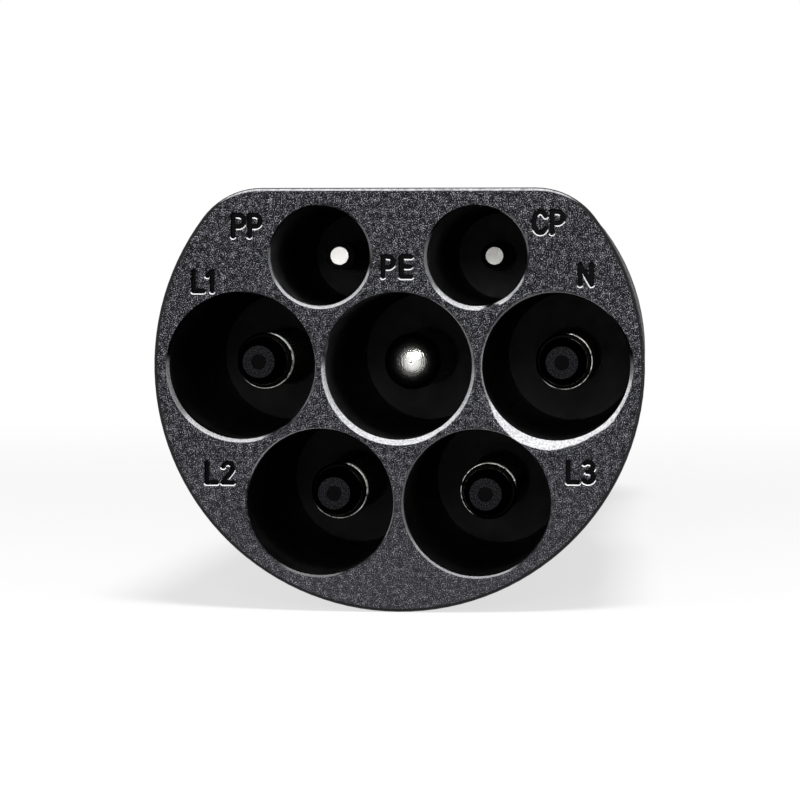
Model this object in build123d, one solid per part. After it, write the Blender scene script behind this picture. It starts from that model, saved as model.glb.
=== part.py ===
from build123d import *
from math import atan2, cos, hypot, radians, sin, sqrt, tan
import os

# Seven-contact electric vehicle charging plug: the pin end of a three-phase charging cable.
# Lengths are millimetres. The origin is on the axis of the earth contact, in the plane of the
# mating face. The plug points along -Y, so a depth behind the mating face is a value of Y.
# +X is to the right for someone who looks into the contacts, and +Z is up.

# Contact layout
POWER_PITCH = 16.0  # between neighbouring power contacts, which stand on a triangular grid
BORE_WEB = 1.0  # plastic left between neighbouring power bores
PILOT_BORE_R = 5.1
PILOT_WEB = 1.15  # plastic left between the earth bore and each pilot bore

# Nose
NOSE_WALL = 1.5  # beside the outer power bores
FLAT_WALL = 1.8  # above the pilot bores
CORNER_R = 7.5  # between the flat top and the round sides
EDGE_R = 0.4  # around the mating face
NOSE_DRAFT = 1.5  # degrees by which the block's sides close in toward its back
BORE_DEPTH = 37.5
BORE_LAND = 12.5  # straight part behind the mouth, which the socket's sleeve fits
BORE_DRAFT = 0.9  # degrees, from there to the floor
FLOOR_T = 7.5  # from the floor of the bores to the back of the D-shaped block
BEVEL_DEPTH = 0.8  # of the trimmed edge around each bore's mouth
BEVEL_MIN = 0.08  # its width where it is narrowest
LOCK_WIDTH = 5.0  # recess in the flat top, for the locking bolt of the socket
LOCK_LENGTH = 9.0
LOCK_DEPTH = 4.5
LOCK_FROM_FACE = 22.0
LOCK_CORNER_R = 1.0

# Joint of the nose and the grip shells
GASKET_T = 1.0
SHELL_STEP = 1.4  # the shells' collar lies this far inside the outline of the nose
COLLAR_WALL = 1.6
LIP_T = 3.0  # lip of the shells, which drops into the neck of the nose
LIP_REACH = 1.6
FLANGE_T = 3.0  # flange of the nose, behind that lip
MAT_T = 1.5
RETAINER_T = 4.0
RIB_T = 2.0  # rib of the shells behind the retainer
RIB_REACH = 1.2
PLATE_GAP = 0.3  # around the mat and the retainer

# Contacts
POWER_PIN_R = 3.0
PILOT_PIN_R = 1.5
PHASE_RIM_DEPTH = 17.8
EARTH_TIP_DEPTH = 14.6
PP_TIP_DEPTH = 18.2
CP_TIP_DEPTH = 26.6
EARTH_DOME_R = 4.5  # flat dome at the end of the earth pin
EARTH_DOME_ANGLE = 20.0  # degrees from the axis, where the dome runs out into a shoulder
RIM_CHAMFER = 0.25
PILOT_CHAMFER = 0.55
SHOULDER_WIDTH = 1.5  # by which a pin's shoulder is wider than its shaft, in radius
PILOT_SHOULDER_WIDTH = 1.0
SHOULDER_T = 2.4
ROOT_STEP = 0.2  # by which a pin is thicker, in radius, where it passes through the nose
BARREL_WALL = 1.3
WIRE_BORE_R = 2.2
PILOT_BARREL_WALL = 0.8
PILOT_WIRE_BORE_R = 1.0
BARREL_LENGTH = 14.0
WIRE_BORE_DEPTH = 11.0

# Touch guards on the phase and neutral pins
GUARD_LENGTH = 4.8
GUARD_RIM = 0.4  # metal that shows around the foot of the guard
GUARD_FACE_R = 1.7
GUARD_DIMPLE_R = 0.8
GUARD_DIMPLE_DEPTH = 0.3
GUARD_GATE_R = 0.22  # stub of the moulding gate, in the middle of the dimple
GUARD_GATE_H = 0.15
GUARD_STEM_R = 1.2
GUARD_STEM_LENGTH = 6.0
GUARD_BULGE = 0.28  # of the guard's side, outside the straight line from foot to face

# Screws
SCREW_R = 1.25
SCREW_HEAD_R = 2.5
SCREW_HEAD_T = 2.0
DRIVE_WIDTH = 0.7  # cross recess
DRIVE_SPAN = 2.8
DRIVE_DEPTH = 1.1
RETAINER_SCREW_LENGTH = 12.0
RETAINER_SCREW_INSET = 8.0  # of the screws' circle inside the round side of the nose
RETAINER_SCREW_ANGLE = 28.5  # degrees above and below the level of the earth contact

# Coding resistor between the proximity and earth contacts
LEAD_R = 0.3
LEAD_BEND_R = 1.5
LEAD_INSERT = 6.0
RESISTOR_SETBACK = 6.0  # behind the crimp barrels
RESISTOR_R = 1.15
RESISTOR_LENGTH = 6.3

# Grip shells
GRIP_LENGTH = 126.0
COLLAR_LENGTH = 14.0
COLLAR_CHAMFER = 0.6
SHELL_WALL = 2.6
BOSS_R = 4.2
HEAD_WELL_R = 3.1
HEAD_SEAT = 9.0  # of the shell screws' heads, below the parting plane
SHELL_SCREW_REACH = 9.0  # of the shell screws above the parting plane
HOLE_SPARE = 1.0  # of a blind screw hole past the screw's end
BOSS_INSET = 10.5  # of the bosses' axes inside the round side of the nose
FRONT_BOSS_SETBACK = 16.0  # behind the crimp barrels
REAR_BOSS_SETBACK = 32.0  # ahead of the rear face
STIFFENER_COUNT = 3
STIFFENER_T = 1.6
STIFFENER_H = 2.2
GRIP_RIB_COUNT = 8
GRIP_RIB_PITCH = 5.0
GRIP_RIB_WIDTH = 2.2
GRIP_RIB_H = 0.7
GRIP_RIB_SPAN = 22.0
GRIP_RIB_START = 0.38  # of the grip's length
# Cross-sections of the grip: place along its length, then how far its round side, its flat top
# and its centre lie inside or below those of the nose, and the radius of its upper corners
GRIP_SECTIONS = (
    (0.06, 2.2, 1.6, 0.0, 7.0),
    (0.19, 2.8, 1.3, 0.0, 8.0),
    (0.38, 4.8, 1.6, 0.0, 9.0),
    (0.62, 5.3, 1.3, 0.0, 9.5),
    (0.80, 4.2, 1.9, 2.6, 8.5),
    (0.92, 3.9, 3.0, 4.4, 7.5),
    (1.00, 5.6, 3.6, 3.4, 7.5),
)

# Cord clamp
CORD_R = 7.0
CORD_GAP = 0.4
CLAMP_SETBACK = 21.0  # ahead of the rear face
CLAMP_WIDTH = 8.0
CLAMP_ARCH_T = 3.0
CLAMP_FOOT_T = 3.5
CLAMP_DROP = 1.0  # of the bosses' tops below the parting plane
SADDLE_T = 3.0
CLAMP_SCREW_LENGTH = 12.0

# Cord gland
REAR_WALL = 4.0
INNER_WALL = 3.0
GLAND_FLANGE_T = 4.0
GLAND_FLANGE_R = 15.0
GLAND_FLANGE_FLAT = 11.8  # height of its flats above and below the axis
GLAND_SPIGOT_R = 11.0
THREAD_R = 12.0
THREAD_LENGTH = 12.0
GLAND_BORE_R = 8.2
SEAL_CHAMBER_R = 10.2
SEAL_LENGTH = 8.0
SEAL_PROUD = 0.4
CAGE_RING_T = 1.6
CAGE_LENGTH = 6.0
CAGE_TIP_WALL = 1.6
CAGE_SLOTS = 8
CAGE_SLOT_WIDTH = 1.2
NUT_WALL = 4.0
NUT_GAP = 1.0  # between the nut and the shells
NUT_END_T = 4.0
NUT_EXIT_R = 8.0
NUT_CHAMFER = 2.4
NUT_FLUTES = 12
NUT_FLUTE_R = 1.7
NUT_FLUTE_DEPTH = 0.9

# Clearances
FIT_GAP = 0.2  # around parts that drop into one another
PIN_GAP = 0.05  # around pins, stems, screws and threads

# Sizes that follow from those above
POWER_BORE_R = (POWER_PITCH - BORE_WEB) / 2
PILOT_SIDE = POWER_PITCH / 2
PILOT_RISE = sqrt((POWER_BORE_R + PILOT_BORE_R + PILOT_WEB) ** 2 - PILOT_SIDE**2)
ROW_DROP = POWER_PITCH * sqrt(3) / 2
NOSE_R = POWER_PITCH + POWER_BORE_R + NOSE_WALL
FLAT_RISE = PILOT_RISE + PILOT_BORE_R + FLAT_WALL
NOSE_LENGTH = BORE_DEPTH + FLOOR_T
SHELL_FRONT = NOSE_LENGTH + GASKET_T
FLANGE_FRONT = SHELL_FRONT + LIP_T
FLANGE_REAR = FLANGE_FRONT + FLANGE_T
MAT_REAR = FLANGE_REAR + MAT_T
RETAINER_REAR = MAT_REAR + RETAINER_T
RIB_REAR = RETAINER_REAR + RIB_T
POCKET_INSET = SHELL_STEP + COLLAR_WALL
FLANGE_INSET = POCKET_INSET + FIT_GAP
NECK_INSET = FLANGE_INSET + LIP_REACH
BARREL_REAR = FLANGE_REAR + BARREL_LENGTH
GRIP_REAR = SHELL_FRONT + GRIP_LENGTH
GLAND_FLANGE_REAR = GRIP_REAR - REAR_WALL
GLAND_FLANGE_FRONT = GLAND_FLANGE_REAR - GLAND_FLANGE_T
CAVITY_REAR = GLAND_FLANGE_FRONT - INNER_WALL
THREAD_REAR = GRIP_REAR + THREAD_LENGTH
SEAL_FRONT = THREAD_REAR + SEAL_PROUD - SEAL_LENGTH
SEAL_REAR = THREAD_REAR + SEAL_PROUD
CAGE_REAR = SEAL_REAR + CAGE_LENGTH
NUT_FRONT = GRIP_REAR + NUT_GAP
NUT_R = THREAD_R + NUT_WALL
FOOT_HEIGHT = -NOSE_R  # the heel of the grip stands level with the underside of the nose
CLAMP_CENTRE = GRIP_REAR - CLAMP_SETBACK
CLAMP_R = CORD_R + CORD_GAP
CLAMP_SCREW_SIDE = CLAMP_R + CLAMP_ARCH_T + FIT_GAP + SCREW_HEAD_R
CLAMP_REACH = CLAMP_SCREW_SIDE + SCREW_HEAD_R

# Contact places across the plug, as X and Z
PHASE_PLACES = {
    "l1": (-POWER_PITCH, 0.0),
    "l2": (-POWER_PITCH / 2, -ROW_DROP),
    "l3": (POWER_PITCH / 2, -ROW_DROP),
    "n": (POWER_PITCH, 0.0),
}
EARTH_PLACE = {"pe": (0.0, 0.0)}
PILOT_PLACES = {"pp": (-PILOT_SIDE, PILOT_RISE), "cp": (PILOT_SIDE, PILOT_RISE)}
POWER_PLACES = {**PHASE_PLACES, **EARTH_PLACE}
PILOT_TIPS = {"pp": PP_TIP_DEPTH, "cp": CP_TIP_DEPTH}

# Trimmed mouths: greatest width of the bevel, and the direction in degrees where it is widest,
# counted from +X towards +Z
MOUTH_BEVELS = {
    "l1": (0.32, -115.0),
    "l2": (0.15, -90.0),
    "l3": (0.15, -90.0),
    "n": (1.0, -102.0),
    "pe": (0.52, -90.0),
    "pp": (0.34, -40.0),
    "cp": (0.42, -90.0),
}


def at_depth(depth):
    """Plane across the plug, seen from in front of the mating face."""
    return Plane(origin=(0, depth, 0), x_dir=(1, 0, 0), z_dir=(0, -1, 0))


def prism(outline, front, rear):
    """Solid of one flat outline between two depths."""
    return extrude(at_depth(rear) * outline, rear - front)


def rod(radius, front, rear, place=(0.0, 0.0)):
    """Round bar along the plug, at a place across it."""
    return prism(Pos(*place) * Circle(radius), front, rear)


def turned(points, place=(0.0, 0.0)):
    """Solid of revolution from a profile of radius and depth, at a place across the plug."""
    profile = make_face(Polyline(*points, close=True))
    return Pos(place[0], 0, place[1]) * revolve(profile, Axis.Y, 360)


def d_outline(radius, flat, corner, centre=0.0):
    """The D: a round side about a centre height, a flat top and two rounded upper corners."""
    rise = flat - corner - centre
    side = sqrt((radius - corner) ** 2 - rise**2)
    turn = atan2(rise, side)
    run_x, run_z = radius * cos(turn), centre + radius * sin(turn)
    half_way = (radians(90) + turn) / 2
    knee_x, knee_z = side + corner * cos(half_way), flat - corner + corner * sin(half_way)
    edges = [
        Line((-side, flat), (side, flat)),
        ThreePointArc((side, flat), (knee_x, knee_z), (run_x, run_z)),
        ThreePointArc((run_x, run_z), (0, centre - radius), (-run_x, run_z)),
        ThreePointArc((-run_x, run_z), (-knee_x, knee_z), (-side, flat)),
    ]
    return make_face(Wire(edges))


def nose_outline(inset=0.0):
    """Outline of the nose, taken in by an even margin."""
    return d_outline(NOSE_R - inset, FLAT_RISE - inset, CORNER_R - inset)


def union(solids):
    """All the solids joined."""
    whole = None
    for solid in solids:
        whole = solid if whole is None else whole + solid
    return whole


def polar(radius, angle):
    """Place across the plug, by its distance from the axis and its direction in degrees."""
    return radius * cos(radians(angle)), radius * sin(radians(angle))


def contact_bore(radius, place):
    """Bore around one contact, open through the mating face: straight, then drafted."""
    floor_r = radius - (BORE_DEPTH - BORE_LAND) * tan(radians(BORE_DRAFT))
    profile = [
        (0, -FLOOR_T),
        (radius, -FLOOR_T),
        (radius, BORE_LAND),
        (floor_r, BORE_DEPTH),
        (0, BORE_DEPTH),
    ]
    return turned(profile, place)


def mouth_bevel(name, radius, place):
    """Trimmed edge around a bore's mouth: a slanting cone, wider on one side."""
    width, direction = MOUTH_BEVELS[name]
    outer_r = radius + (width + BEVEL_MIN) / 2
    shift = polar((width - BEVEL_MIN) / 2, direction)
    outer_place = (place[0] + shift[0], place[1] + shift[1])
    deep = at_depth(BEVEL_DEPTH) * Pos(*place) * Circle(radius)
    wide = at_depth(0) * Pos(*outer_place) * Circle(outer_r)
    return loft([deep, wide])


def retainer_screw_places():
    """Places of the four screws that hold the retainer."""
    circle_r = NOSE_R - RETAINER_SCREW_INSET
    turn = RETAINER_SCREW_ANGLE
    return [polar(circle_r, angle) for angle in (turn, 180 - turn, 180 + turn, -turn)]


def lock_recess():
    """Pocket in the flat top, which the socket's locking bolt drops into."""
    outline = RectangleRounded(LOCK_WIDTH, LOCK_LENGTH, LOCK_CORNER_R)
    middle = LOCK_FROM_FACE + LOCK_LENGTH / 2
    return Pos(0, middle, FLAT_RISE - LOCK_DEPTH) * extrude(outline, LOCK_DEPTH + 1)


def nose():
    """Moulded front: D-shaped block with seven bores, neck, and flange held by the shells."""
    back = at_depth(NOSE_LENGTH) * nose_outline(NOSE_LENGTH * tan(radians(NOSE_DRAFT)))
    body = loft([back, at_depth(0) * nose_outline()], ruled=True)
    rim = body.faces().sort_by(Axis.Y)[0].edges()
    body = fillet(rim, EDGE_R)
    body += prism(nose_outline(NECK_INSET), NOSE_LENGTH, FLANGE_FRONT)
    body += prism(nose_outline(FLANGE_INSET), FLANGE_FRONT, FLANGE_REAR)
    shoulder_front = FLANGE_REAR - SHOULDER_T
    groups = (
        (POWER_PLACES, POWER_BORE_R, POWER_PIN_R, SHOULDER_WIDTH),
        (PILOT_PLACES, PILOT_BORE_R, PILOT_PIN_R, PILOT_SHOULDER_WIDTH),
    )
    for places, bore_r, pin_r, shoulder in groups:
        for name, place in places.items():
            body -= contact_bore(bore_r, place)
            body -= mouth_bevel(name, bore_r, place)
            body -= rod(pin_r + ROOT_STEP + PIN_GAP, BORE_DEPTH - 1, FLANGE_REAR, place)
            body -= rod(pin_r + shoulder + PIN_GAP, shoulder_front, FLANGE_REAR, place)
    thread_depth = RETAINER_SCREW_LENGTH - RETAINER_T - MAT_T + HOLE_SPARE
    for place in retainer_screw_places():
        body -= rod(SCREW_R + PIN_GAP, FLANGE_REAR - thread_depth, FLANGE_REAR, place)
    return body - lock_recess()


def pin_rear(pin_r, shoulder, barrel_wall, wire_r):
    """Rear half of a pin's profile: root, shoulder, crimp barrel and its wire bore."""
    shoulder_r = pin_r + shoulder
    barrel_r = wire_r + barrel_wall
    shoulder_front = FLANGE_REAR - SHOULDER_T
    return [
        (pin_r, BORE_DEPTH),
        (pin_r + ROOT_STEP, BORE_DEPTH),
        (pin_r + ROOT_STEP, shoulder_front),
        (shoulder_r, shoulder_front),
        (shoulder_r, FLANGE_REAR),
        (barrel_r, FLANGE_REAR),
        (barrel_r, BARREL_REAR),
        (wire_r, BARREL_REAR),
        (wire_r, BARREL_REAR - WIRE_BORE_DEPTH),
        (0, BARREL_REAR - WIRE_BORE_DEPTH - wire_r / 2),
    ]


def phase_pin(place):
    """Phase or neutral pin, with a socket in its end for the touch guard's stem."""
    stem_r = GUARD_STEM_R + PIN_GAP
    stem_end = PHASE_RIM_DEPTH + GUARD_STEM_LENGTH + PIN_GAP
    front = [
        (0, stem_end),
        (stem_r, stem_end),
        (stem_r, PHASE_RIM_DEPTH),
        (POWER_PIN_R - RIM_CHAMFER, PHASE_RIM_DEPTH),
        (POWER_PIN_R, PHASE_RIM_DEPTH + RIM_CHAMFER),
    ]
    rear = pin_rear(POWER_PIN_R, SHOULDER_WIDTH, BARREL_WALL, WIRE_BORE_R)
    return turned(front + rear, place)


def earth_pin(place):
    """Earth pin: longer than the rest, with a flat dome that runs out into a round shoulder."""
    angle = radians(EARTH_DOME_ANGLE)
    start = (0, EARTH_TIP_DEPTH)
    middle, run_out = [
        (EARTH_DOME_R * sin(turn), EARTH_TIP_DEPTH + EARTH_DOME_R * (1 - cos(turn)))
        for turn in (angle / 2, angle)
    ]
    shoulder_r = (POWER_PIN_R - run_out[0]) / (1 - sin(angle))
    shaft_start = run_out[1] + shoulder_r * cos(angle)
    half_way = (angle + radians(90)) / 2
    knee = (
        POWER_PIN_R - shoulder_r * (1 - sin(half_way)),
        shaft_start - shoulder_r * cos(half_way),
    )
    rear = pin_rear(POWER_PIN_R, SHOULDER_WIDTH, BARREL_WALL, WIRE_BORE_R)
    edges = [
        ThreePointArc(start, middle, run_out),
        ThreePointArc(run_out, knee, (POWER_PIN_R, shaft_start)),
        Polyline((POWER_PIN_R, shaft_start), *rear, start),
    ]
    return Pos(place[0], 0, place[1]) * revolve(make_face(edges), Axis.Y, 360)


def pilot_pin(tip_depth, place):
    """Thin signal pin with a chamfered flat end."""
    front = [
        (0, tip_depth),
        (PILOT_PIN_R - PILOT_CHAMFER, tip_depth),
        (PILOT_PIN_R, tip_depth + PILOT_CHAMFER),
    ]
    rear = pin_rear(PILOT_PIN_R, PILOT_SHOULDER_WIDTH, PILOT_BARREL_WALL, PILOT_WIRE_BORE_R)
    return turned(front + rear, place)


def touch_guard(place):
    """Plastic cap on a live pin: bulged cone, flat dimpled face, and a stem in the pin."""
    face = PHASE_RIM_DEPTH - GUARD_LENGTH
    foot_r = POWER_PIN_R - GUARD_RIM
    bulge = ((GUARD_FACE_R + foot_r) / 2 + GUARD_BULGE, PHASE_RIM_DEPTH - GUARD_LENGTH / 2)
    dimple = face + GUARD_DIMPLE_DEPTH
    stem_end = PHASE_RIM_DEPTH + GUARD_STEM_LENGTH
    edges = [
        Polyline(
            (0, stem_end),
            (0, dimple - GUARD_GATE_H),
            (GUARD_GATE_R, dimple - GUARD_GATE_H),
            (GUARD_GATE_R, dimple),
            (GUARD_DIMPLE_R, dimple),
            (GUARD_DIMPLE_R, face),
            (GUARD_FACE_R, face),
        ),
        ThreePointArc((GUARD_FACE_R, face), bulge, (foot_r, PHASE_RIM_DEPTH)),
        Polyline(
            (foot_r, PHASE_RIM_DEPTH),
            (GUARD_STEM_R, PHASE_RIM_DEPTH),
            (GUARD_STEM_R, stem_end),
            (0, stem_end),
        ),
    ]
    return Pos(place[0], 0, place[1]) * revolve(make_face(edges), Axis.Y, 360)


def plate(inset, front, rear, hole_gap):
    """Plate in the outline of the nose, with a hole for each crimp barrel and each screw."""
    body = prism(nose_outline(inset), front, rear)
    for place in POWER_PLACES.values():
        body -= rod(WIRE_BORE_R + BARREL_WALL + hole_gap, front, rear, place)
    for place in PILOT_PLACES.values():
        body -= rod(PILOT_WIRE_BORE_R + PILOT_BARREL_WALL + hole_gap, front, rear, place)
    for place in retainer_screw_places():
        body -= rod(SCREW_R + hole_gap, front, rear, place)
    return body


def screw(length):
    """Screw along +Z with its head above the origin, and a cross recess in the head."""
    profile = [
        (0, -length),
        (SCREW_R * 0.6, -length),
        (SCREW_R, -length + SCREW_R),
        (SCREW_R, 0),
        (SCREW_HEAD_R, 0),
        (SCREW_HEAD_R, SCREW_HEAD_T * 0.6),
        (SCREW_HEAD_R * 0.72, SCREW_HEAD_T),
        (0, SCREW_HEAD_T),
    ]
    body = Rot(90, 0, 0) * revolve(make_face(Polyline(*profile, close=True)), Axis.Y, 360)
    for width, span in ((DRIVE_WIDTH, DRIVE_SPAN), (DRIVE_SPAN, DRIVE_WIDTH)):
        slot = extrude(Rectangle(width, span), DRIVE_DEPTH)
        body -= Pos(0, 0, SCREW_HEAD_T - DRIVE_DEPTH) * slot
    return body


def retainer_screws():
    """The four screws, put in from behind."""
    one = Rot(-90, 0, 0) * screw(RETAINER_SCREW_LENGTH)
    return [Pos(x, RETAINER_REAR, z) * one for x, z in retainer_screw_places()]


def coding_resistor():
    """Resistor whose leads go into the proximity and earth crimp barrels."""
    pp_place = PILOT_PLACES["pp"]
    span = hypot(*pp_place)
    along = (pp_place[0] / span, pp_place[1] / span)
    from_earth = WIRE_BORE_R - LEAD_R - PIN_GAP
    to_pp = span - (PILOT_WIRE_BORE_R - LEAD_R - PIN_GAP)
    crossing = BARREL_REAR + RESISTOR_SETBACK
    insert = BARREL_REAR - LEAD_INSERT
    corners = [(from_earth, insert), (from_earth, crossing), (to_pp, crossing), (to_pp, insert)]
    points = [(s * along[0], depth, s * along[1]) for s, depth in corners]
    route = FilletPolyline(*points, radius=LEAD_BEND_R)
    end = Plane(origin=points[0], z_dir=(0, 1, 0)) * Circle(LEAD_R)
    leads = sweep(end, path=route)
    middle = (from_earth + to_pp) / 2
    start = middle - RESISTOR_LENGTH / 2
    seat = Plane(
        origin=(start * along[0], crossing, start * along[1]), z_dir=(along[0], 0, along[1])
    )
    body = extrude(seat * Circle(RESISTOR_R), RESISTOR_LENGTH)
    return leads + fillet(body.edges().filter_by(GeomType.CIRCLE), RESISTOR_R / 3)


def grip_form(inset):
    """Outer form of the grip, taken in by an even margin: a loft through its sections."""
    sections = []
    for share, side_in, flat_in, drop, corner in GRIP_SECTIONS:
        outline = d_outline(
            NOSE_R - side_in - inset, FLAT_RISE - flat_in - inset, corner - inset, -drop
        )
        sections.append(at_depth(SHELL_FRONT + share * GRIP_LENGTH) * outline)
    return loft(sections)


def slab(front, rear, low, high):
    """Block wider than the plug, between two depths and two heights."""
    width = 4 * NOSE_R
    middle = ((front + rear) / 2, (low + high) / 2)
    return Pos(0, *middle) * Box(width, rear - front, high - low)


def shell_cavity():
    """Space inside the shells, from the flange's pocket to the wall ahead of the gland."""
    far = 2 * NOSE_R
    room = grip_form(SHELL_WALL) & slab(RIB_REAR, CAVITY_REAR, FOOT_HEIGHT + SHELL_WALL, far)
    room += prism(nose_outline(NECK_INSET - FIT_GAP), SHELL_FRONT, FLANGE_FRONT)
    room += prism(nose_outline(POCKET_INSET), FLANGE_FRONT, RETAINER_REAR)
    room += prism(nose_outline(POCKET_INSET + RIB_REACH), RETAINER_REAR, RIB_REAR)
    return room


def gland_seat():
    """Space for the gland body: bore, flatted flange pocket and thread."""
    flange = Circle(GLAND_FLANGE_R + FIT_GAP) & Rectangle(
        4 * GLAND_FLANGE_R, 2 * (GLAND_FLANGE_FLAT + FIT_GAP)
    )
    seat = rod(GLAND_SPIGOT_R + FIT_GAP, CAVITY_REAR, GLAND_FLANGE_FRONT)
    seat += prism(flange, GLAND_FLANGE_FRONT, GLAND_FLANGE_REAR)
    return seat + rod(THREAD_R + FIT_GAP, GLAND_FLANGE_REAR, GRIP_REAR)


def shell_screw_places():
    """Places of the four shell screws, as X and depth."""
    side = NOSE_R - BOSS_INSET
    depths = (BARREL_REAR + FRONT_BOSS_SETBACK, GRIP_REAR - REAR_BOSS_SETBACK)
    return [(hand * side, depth) for depth in depths for hand in (-1, 1)]


def post(radius, place, low, high):
    """Upright cylinder at a place given as X and depth."""
    return Pos(place[0], place[1], low) * extrude(Circle(radius), high - low)


def stiffeners(room):
    """Rings of rib inside the shells, between the front and rear bosses."""
    first = BARREL_REAR + FRONT_BOSS_SETBACK
    step = (GRIP_REAR - REAR_BOSS_SETBACK - first) / (STIFFENER_COUNT + 1)
    inner = grip_form(SHELL_WALL + STIFFENER_H)
    rings = []
    for index in range(STIFFENER_COUNT):
        middle = first + (index + 1) * step
        cut = slab(middle - STIFFENER_T / 2, middle + STIFFENER_T / 2, -2 * NOSE_R, 2 * NOSE_R)
        rings.append((room & cut) - inner)
    return union(rings)


def grip_ribs():
    """Raised finger ribs on both sides of the grip, cut from a slightly larger form."""
    larger = grip_form(-GRIP_RIB_H)
    ribs = []
    for index in range(GRIP_RIB_COUNT):
        depth = SHELL_FRONT + GRIP_RIB_START * GRIP_LENGTH + index * GRIP_RIB_PITCH
        outline = Pos(depth, 0) * SlotOverall(GRIP_RIB_SPAN, GRIP_RIB_WIDTH, rotation=90)
        ribs.append(larger & extrude(Plane.YZ * outline, 2 * NOSE_R, both=True))
    return union(ribs)


def collar():
    """Solid collar of the shells, behind the nose, with a bevelled rear edge."""
    rear = SHELL_FRONT + COLLAR_LENGTH
    bevel = rear - COLLAR_CHAMFER
    wide = at_depth(bevel) * nose_outline(SHELL_STEP)
    narrow = at_depth(rear) * nose_outline(SHELL_STEP + COLLAR_CHAMFER)
    return prism(nose_outline(SHELL_STEP), SHELL_FRONT, bevel) + loft([wide, narrow], ruled=True)


def shells():
    """Upper and lower grip shells, parted on the level of the earth contact."""
    far = 2 * NOSE_R
    outer = collar() + grip_form(0) + grip_ribs()
    outer &= slab(SHELL_FRONT, GRIP_REAR, FOOT_HEIGHT, far)
    room = shell_cavity()
    bosses = union([post(BOSS_R, place, -far, far) for place in shell_screw_places()])
    body = outer - room + (room & bosses) + stiffeners(room) - gland_seat()
    upper = body & slab(SHELL_FRONT, GRIP_REAR, 0, far)
    lower = body & slab(SHELL_FRONT, GRIP_REAR, -far, 0)
    for place in shell_screw_places():
        upper -= post(SCREW_R + PIN_GAP, place, 0, SHELL_SCREW_REACH + HOLE_SPARE)
        lower -= post(HEAD_WELL_R, place, -far, -HEAD_SEAT)
        lower -= post(SCREW_R + FIT_GAP, place, -HEAD_SEAT, 0)
    return upper, lower + cord_saddle(room)


def cord_saddle(room):
    """Saddle rib and two screw bosses in the lower shell, under the cord clamp."""
    top = -CLAMP_DROP
    rib = slab(CLAMP_CENTRE - SADDLE_T / 2, CLAMP_CENTRE + SADDLE_T / 2, -2 * NOSE_R, top)
    rib -= rod(CLAMP_R, CLAMP_CENTRE - SADDLE_T, CLAMP_CENTRE + SADDLE_T)
    hole_depth = CLAMP_SCREW_LENGTH - CLAMP_FOOT_T + HOLE_SPARE
    for hand in (-1, 1):
        place = (hand * CLAMP_SCREW_SIDE, CLAMP_CENTRE)
        rib += post(SCREW_HEAD_R, place, -2 * NOSE_R, top)
        rib -= post(SCREW_R + PIN_GAP, place, top - hole_depth, top)
    return rib & room


def clamp_bar():
    """Arched bar that holds the cord down on the saddle."""
    span = 2 * CLAMP_REACH
    foot_top = CLAMP_FOOT_T - CLAMP_DROP
    above_feet = Pos(0, CLAMP_REACH - CLAMP_DROP) * Rectangle(span, span)
    outline = Circle(CLAMP_R + CLAMP_ARCH_T) & above_feet
    outline += Pos(0, (foot_top - CLAMP_DROP) / 2) * Rectangle(span, CLAMP_FOOT_T)
    outline -= Circle(CLAMP_R)
    bar = prism(outline, CLAMP_CENTRE - CLAMP_WIDTH / 2, CLAMP_CENTRE + CLAMP_WIDTH / 2)
    for hand in (-1, 1):
        bar -= post(SCREW_R + FIT_GAP, (hand * CLAMP_SCREW_SIDE, CLAMP_CENTRE), -NOSE_R, foot_top)
    return bar


def clamp_screws():
    """Two screws, put in from above."""
    height = CLAMP_FOOT_T - CLAMP_DROP
    return [
        Pos(hand * CLAMP_SCREW_SIDE, CLAMP_CENTRE, height) * screw(CLAMP_SCREW_LENGTH)
        for hand in (-1, 1)
    ]


def shell_screws():
    """Four screws, put in from below."""
    one = Rot(180, 0, 0) * screw(HEAD_SEAT + SHELL_SCREW_REACH)
    return [Pos(x, depth, -HEAD_SEAT) * one for x, depth in shell_screw_places()]


def gland_body():
    """Gland body: spigot and flatted flange held by the shells, and the thread for the nut."""
    flange = Circle(GLAND_FLANGE_R) & Rectangle(4 * GLAND_FLANGE_R, 2 * GLAND_FLANGE_FLAT)
    body = rod(GLAND_SPIGOT_R, CAVITY_REAR, GLAND_FLANGE_FRONT)
    body += prism(flange, GLAND_FLANGE_FRONT, GLAND_FLANGE_REAR)
    body += rod(THREAD_R, GLAND_FLANGE_REAR, THREAD_REAR)
    body -= rod(GLAND_BORE_R, CAVITY_REAR, THREAD_REAR)
    return body - rod(SEAL_CHAMBER_R, SEAL_FRONT, THREAD_REAR)


def gland_seal():
    """Rubber bush squeezed around the cord."""
    outer_r = SEAL_CHAMBER_R - PIN_GAP
    return rod(outer_r, SEAL_FRONT, SEAL_REAR) - rod(CORD_R, SEAL_FRONT, SEAL_REAR)


def gland_cage():
    """Clamping cage: a ring with tapered fingers between its slots."""
    bore_r = CORD_R + FIT_GAP
    ring_r = THREAD_R - 2 * FIT_GAP
    ring_rear = SEAL_REAR + CAGE_RING_T
    cage = turned(
        [
            (bore_r, SEAL_REAR),
            (ring_r, SEAL_REAR),
            (ring_r, ring_rear),
            (bore_r + CAGE_TIP_WALL, CAGE_REAR),
            (bore_r, CAGE_REAR),
        ]
    )
    for index in range(CAGE_SLOTS):
        slot = Pos(ring_r / 2, 0) * Rectangle(ring_r, CAGE_SLOT_WIDTH)
        slot = prism(slot, ring_rear, CAGE_REAR)
        cage -= slot.rotate(Axis.Y, (index + 0.5) * 360 / CAGE_SLOTS)
    return cage


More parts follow.
